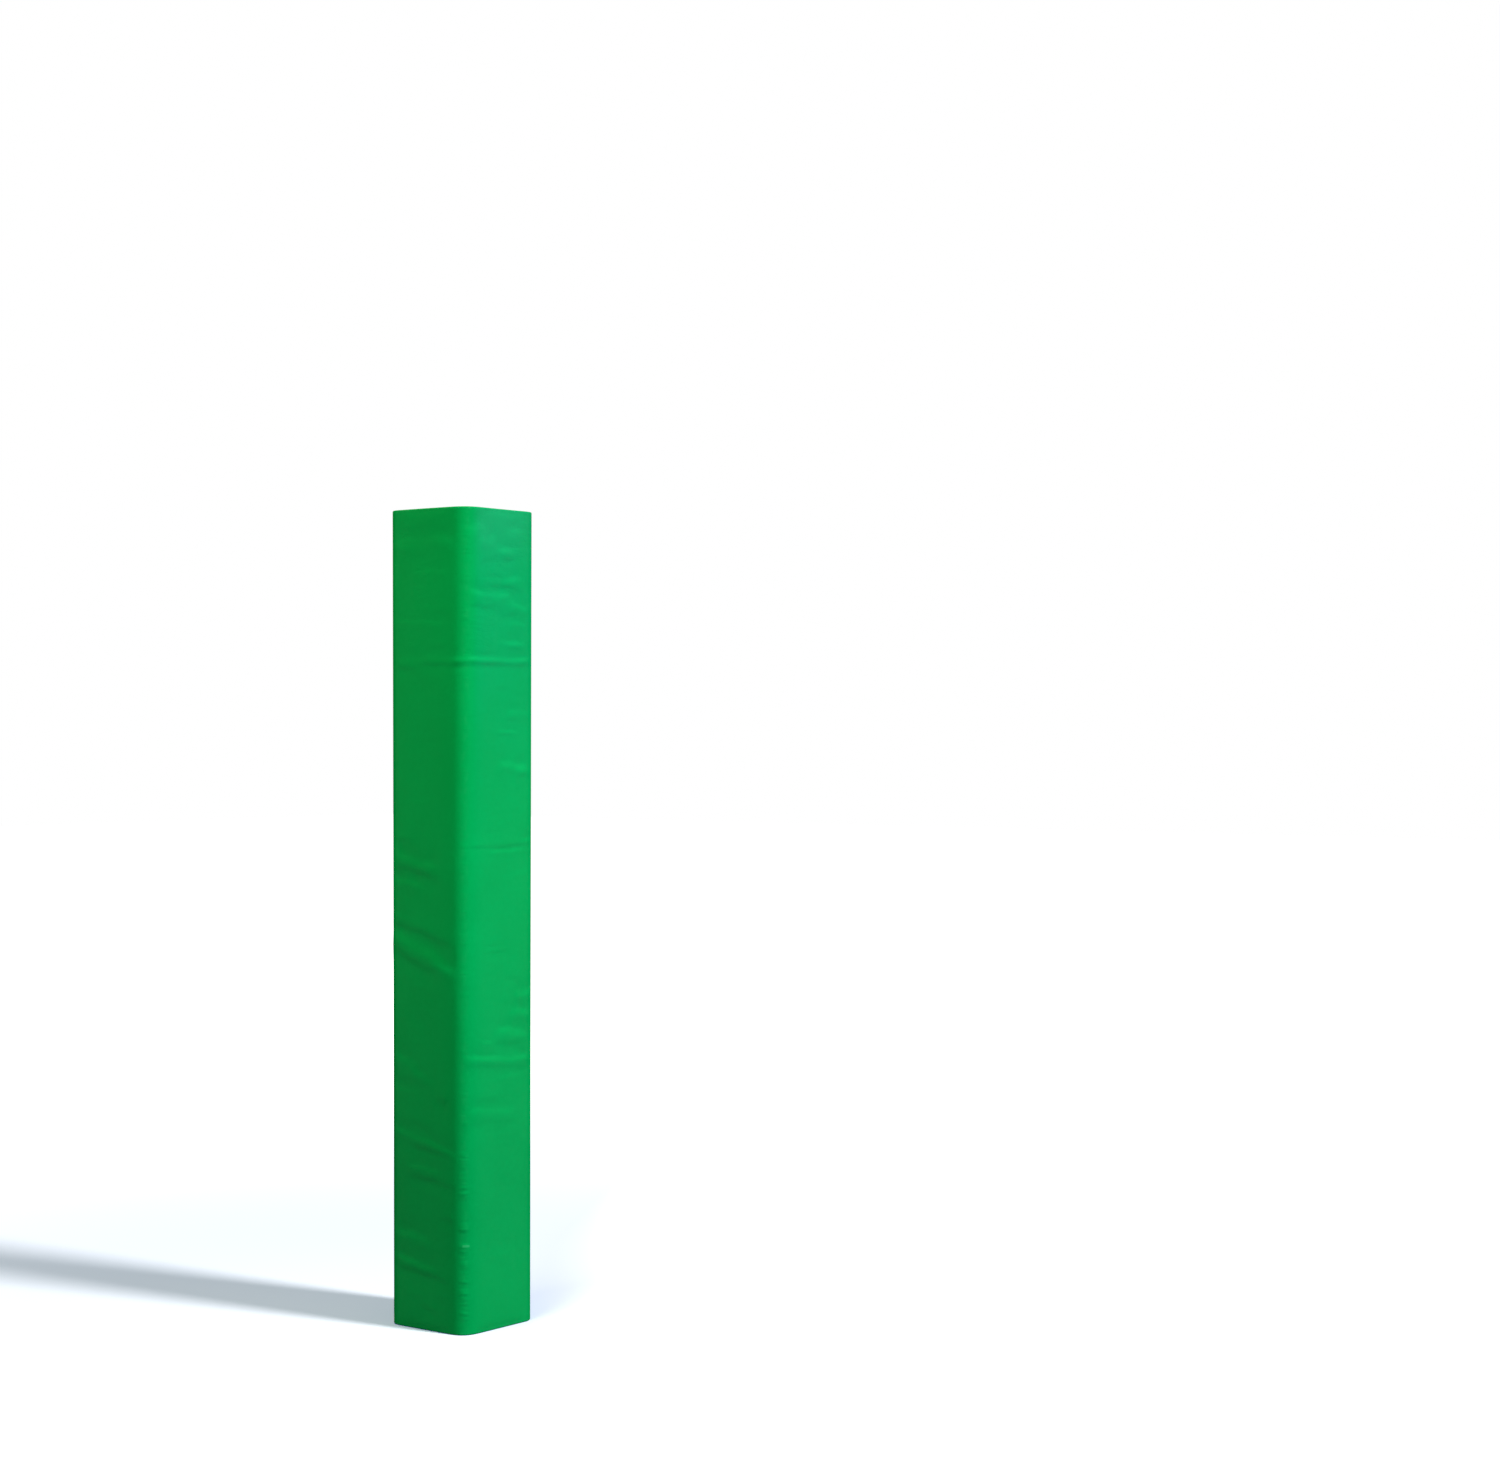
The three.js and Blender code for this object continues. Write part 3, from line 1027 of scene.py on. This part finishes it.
def makeLining(side, look):
    left, leftOut = liningEnd(-1, look["leftTape"], look["nearEnd"] < 0)
    right, rightOut = liningEnd(1, look["rightTape"], look["nearEnd"] > 0)
    right, rightOut = right[::-1], rightOut[::-1]
    between = np.linspace(left[-1], right[0], 12)[1:-1]
    places = np.concatenate([left, between, right])[::-1]
    outwards = np.concatenate([leftOut, np.zeros((10, 2)), rightOut])[::-1]
    cut = lengthsAlong(places)
    low, high = lining["under"], padHeight - lining["under"]
    height = np.linspace(low, high, round((high - low) / lining["upStep"]) + 1)
    places = places[:, None] + outwards[:, None] * fullness(height)[:, None]
    sheet = layStrip(side + "Lining", places, cut, height)
    refine(sheet)
    across, up = cutPlaces(sheet)
    wave = np.sin(up * 31 + across * 40) + np.sin(up * 77 - across * 60 + 2) + np.sin(up * 13 + 1)
    fade = np.clip(np.minimum(up, padHeight - up) / 0.03, 0, 1)
    pushOut(sheet, -lining["unevenness"] * (1 + wave / 3) * fade)
    thicken(sheet, lining["thickness"])
    turnToSide(sheet, look["turn"])
    dress(sheet, 50, liningCloth)
    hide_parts(side + "_lining")
    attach(sheet, side + "_panel")


for side, look in panels.items():
    makeLining(side, look)
print("stage: linings")


# Closure tapes on the two mitred edges that meet at the rear right corner

tape = {
    "width": 0.025, "endMargin": 0.040, "selvedge": 0.0022, "backing": 0.0007, "round": 0.00025,
    "stitchMargin": 0.044,
}
mitreMiddle = (boreHalf / diagonal + arcCentre / diagonal + cornerRadius - cover["thickness"]) / 2
closures = {
    "closureLoopTape": {
        "node": "closure_loop_tape", "body": "right_panel", "slot": "loop_tape",
        "hand": -1, "thickness": 0.0022, "pile": loopPile,
    },
    "closureHookTape": {
        "node": "closure_hook_tape", "body": "rear_panel", "slot": "hook_tape",
        "hand": 1, "thickness": 0.0016, "pile": hookPile,
    },
}


def makeTape(name, look):
    # modelled facing +Y, then turned on to the mitre
    low, high, half = tape["endMargin"], padHeight - tape["endMargin"], tape["width"] / 2
    back = joinSetback + look["thickness"]
    pileFoot = tape["backing"] - back
    block = addBlock(name, (mitreMiddle - half, -back, low), (mitreMiddle + half, pileFoot, high))
    enterEdit(block, "FACE")
    bpy.ops.mesh.select_all(action="DESELECT")
    leaveEdit()
    for part in block.data.polygons:
        part.select = part.center.y > pileFoot - tape["backing"] / 4
    bpy.ops.object.mode_set(mode="EDIT")
    bpy.ops.mesh.inset(thickness=tape["selvedge"], depth=0)
    rise = (0, -pileFoot - joinSetback, 0)
    bpy.ops.mesh.extrude_region_move(TRANSFORM_OT_translate={"value": rise})
    bpy.ops.mesh.select_mode(type="EDGE")
    roundEdges(tape["round"])
    layer = block.data.uv_layers[0]
    layer.name = "cut"
    layer.data.foreach_set("uv", coordinates(block)[loopVertices(block)][:, [0, 2]].ravel())
    for part in block.data.polygons:
        inField = abs(part.center.x - mitreMiddle) < half - tape["selvedge"] + 0.0004
        part.material_index = 1 if inField and part.center.y > pileFoot + 0.0001 else 0
    if look["hand"] > 0:
        moveTo(block, coordinates(block) * (1, -1, 1))
        block.data.flip_normals()
    turnToSide(block, 45)
    dress(block, 40, tapeWeb, look["pile"])
    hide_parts(look["node"])
    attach(block, look["body"])


for name, look in closures.items():
    makeTape(name, look)
print("stage: closure tapes")


# Bindings: a strip of cover cloth folded over each closing edge

binding = {
    "thickness": 0.0007, "proud": 0.0004, "outerLeg": 0.011, "innerLeg": 0.0046, "fold": 0.0007,
    "short": 0.0011, "pucker": 0.00012, "puckerPitch": 0.006,
}


def bindingPath():
    # for the right panel: round the corner's outside, over the closing edge and in along the mitre
    fold = binding["fold"]
    last = closingPlace - joinSetback - fold
    places, outward = outlineAt(np.linspace(last - binding["outerLeg"], last, 6))
    places, outward = list(places + outward * binding["proud"]), list(outward)
    middle = places[-1] - fold * outward[-1]
    for angle in np.linspace(atan2(outward[-1][1], outward[-1][0]), radians(135), 5)[1:]:
        away = np.array([cos(angle), sin(angle)])
        places.append(middle + fold * away)
        outward.append(away)
    for share in (0.33, 0.66, 1.0):
        places.append(middle + fold * away - binding["innerLeg"] * share * diagonal)
        outward.append(away)
    return np.array(places), np.array(outward)


def makeBinding(name, body, mirrored):
    places, outward = bindingPath()
    if mirrored:
        places, outward = places[::-1, ::-1], outward[::-1, ::-1]
    cut = lengthsAlong(places) + sidePitch + 0.08
    short, roll = binding["short"], cover["roll"]
    height = joinedSteps([short, roll, padHeight - roll, padHeight - short], [5, 130, 5])
    # its ends turn in with the rolled edges of the cover
    inRoll = np.maximum(0, np.maximum(roll - height, height - padHeight + roll))
    full = (fullness(height) - roll + np.sqrt(roll**2 - inRoll**2))[:, None] * (diagonal, diagonal)
    sheet = layStrip(name, places[:, None] + full, cut, height)
    across, up = cutPlaces(sheet)
    pushOut(sheet, binding["pucker"] * np.sin(up / binding["puckerPitch"] * pi) * np.sin(up * 3.1))
    thicken(sheet, binding["thickness"])
    dress(sheet, 50, coverCloth)
    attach(sheet, body)
    return places, outward


rightEdge = makeBinding("rightClosingBinding", "right_panel", False)
rearEdge = makeBinding("rearClosingBinding", "rear_panel", True)
print("stage: bindings")


# Stitching

stitch = {"length": 0.0042, "pitch": 0.0058, "radius": 0.00036, "hemDepth": 0.0078, "dip": 1.1}


def modelStitch():
    # one stitch lies along X and its two ends dip into the cloth
    length, radius = stitch["length"], stitch["radius"]
    flat = (0, pi / 2, 0)
    bpy.ops.mesh.primitive_cylinder_add(vertices=6, radius=radius, depth=length, rotation=flat)
    bpy.ops.object.transform_apply()
    one = named("oneStitch")
    enterEdit(one)
    for place in (-0.3, 0.3):
        cutAcross((place * length, 0, 0), (1, 0, 0))
    leaveEdit()
    spots = coordinates(one)
    tips = np.abs(spots[:, 0]) > length * 0.45
    spots[tips, 1:] *= 0.5
    spots[tips, 2] -= radius * stitch["dip"]
    moveTo(one, spots)
    return one


oneStitch = modelStitch()


def sewAlong(name, spots, ahead, outward):
    # a copy of the stitch at each spot, joined to one row
    bpy.ops.object.select_all(action="DESELECT")
    for spot, along, out in zip(*np.broadcast_arrays(spots, ahead, outward)):
        along, out = Vector(along).normalized(), Vector(out).normalized()
        copy = oneStitch.copy()
        copy.data = oneStitch.data.copy()
        scene.collection.objects.link(copy)
        moveTo(copy, coordinates(copy) @ np.array([along, out.cross(along), out]) + spot)
        copy.select_set(True)
    bpy.context.view_layer.objects.active = copy
    bpy.ops.object.join()
    row = named(name)
    row.data.materials.clear()
    dress(row, 60, sewingThread)
    return row


def hemStitches(name, first, last, fold):
    along = np.arange(first + 0.004, last - 0.003, stitch["pitch"])
    depth, outward = np.full(len(along), stitch["hemDepth"]), outlineAt(along)[1]
    ahead = [(-y, x, 0) for x, y in outward] * 2
    spots, out = [], []
    for height, up in ((0.00062, -1), (padHeight - 0.00005, 1)):
        spots += [(x, y, height) for x, y in onWrap(along, depth, np.full(len(along), height))]
        out += [(0, 0, up)] * len(along)
    bendWith(sewAlong(name, spots, ahead, out), fold)


def upright(name, body, place, outward, margin, onCover=False):
    height = np.arange(margin, padHeight - margin, stitch["pitch"])
    full = fullness(height) * diagonal if onCover else height * 0
    spots = np.column_stack([place[0] + full, place[1] + full, height])
    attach(sewAlong(name, spots, (0, 0, 1), (*outward, 0)), body)


hemStitches("frontLeftHemStitches", -sidePitch + lap, faceLength - lap, "frontLeft")
hemStitches("rightHemStitches", faceLength - lap, closingPlace - 0.012, "frontRight")
hemStitches("rearHemStitches", closingPlace + 0.012, 3 * sidePitch + lap, "leftRear")
for side, edge, first in (("right", rightEdge, 1), ("rear", rearEdge, -2)):
    place, outward = edge[0][first], edge[1][first]
    upright(side + "BindingStitches", side + "_panel", place, outward, 0.010, onCover=True)
for name, look in closures.items():
    depth = joinSetback + look["thickness"] - tape["backing"]
    away = np.array([look["hand"], -look["hand"]]) * diagonal
    for row, shift in (("Inner", -1), ("Outer", 1)):
        reach = mitreMiddle + shift * (tape["width"] / 2 - tape["selvedge"] / 2)
        place = np.array([reach, reach]) * diagonal - away * depth
        upright(name + row + "Stitches", look["body"], place, away, tape["stitchMargin"])
bpy.data.objects.remove(oneStitch)
print("stage: stitching")
